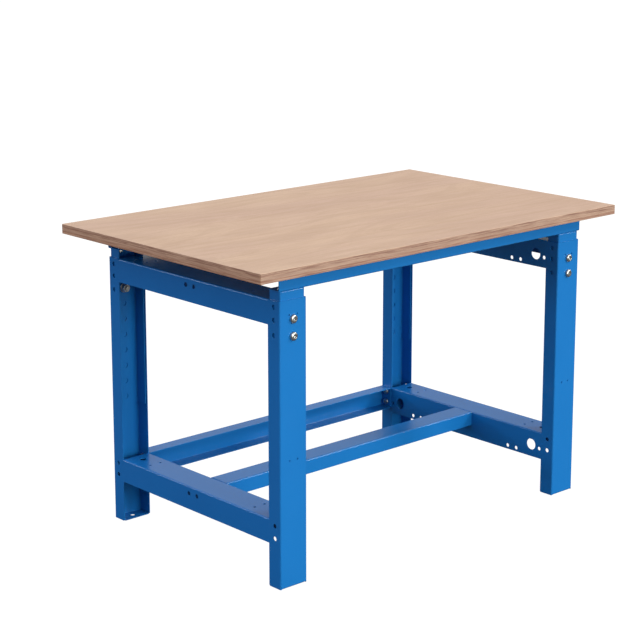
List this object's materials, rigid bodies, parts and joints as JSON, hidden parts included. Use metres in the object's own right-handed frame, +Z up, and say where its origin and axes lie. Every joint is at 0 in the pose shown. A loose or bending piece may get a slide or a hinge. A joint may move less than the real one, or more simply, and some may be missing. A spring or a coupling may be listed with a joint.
{
  "type": "height-adjustable workbench",
  "caption": "Workbench with a multiplex worktop on a bolted frame of folded, powder-coated steel channels; telescopic legs set its height by bolts in rows of holes.",
  "frame": {"origin": "on the floor, under the middle of the worktop", "axes": "+Z up, +X along the bench's long side towards the right end, -Y towards the front"},
  "size_m": [1.2, 0.75, 0.76],
  "materials": {
    "frame_steel": "semi-gloss blue powder coat",
    "worktop_board": "satin varnished beech multiplex",
    "zinc_hardware": "bright zinc plate"
  },
  "bodies": {
    "base": {"outer_leg_front_left": "frame_steel", "outer_leg_front_right": "frame_steel", "outer_leg_back_left": "frame_steel", "outer_leg_back_right": "frame_steel", "upper_side_rail_left": "frame_steel", "upper_side_rail_right": "frame_steel", "lower_side_rail_left": "frame_steel", "lower_side_rail_right": "frame_steel", "lower_middle_rail": "frame_steel", "lower_back_rail": "frame_steel", "height_bolts": "zinc_hardware", "height_washers": "zinc_hardware", "height_nuts": "zinc_hardware", "back_rail_bolts": "zinc_hardware", "back_rail_nuts": "zinc_hardware", "middle_rail_bolts": "zinc_hardware", "middle_rail_nuts": "zinc_hardware"},
    "upper": {"tabletop": "worktop_board", "front_top_beam": "frame_steel", "back_top_beam": "frame_steel", "beam_bolts": "zinc_hardware", "beam_nuts": "zinc_hardware", "tabletop_screws": "zinc_hardware", "inner_leg_front_left": "frame_steel", "inner_leg_front_right": "frame_steel", "inner_leg_back_left": "frame_steel", "inner_leg_back_right": "frame_steel"}
  },
  "joints": [
    {"name": "height_adjust", "type": "slide", "parent": "base", "child": "upper", "axis": [0, 0, 1], "range_m": [0, 0.24]}
  ]
}
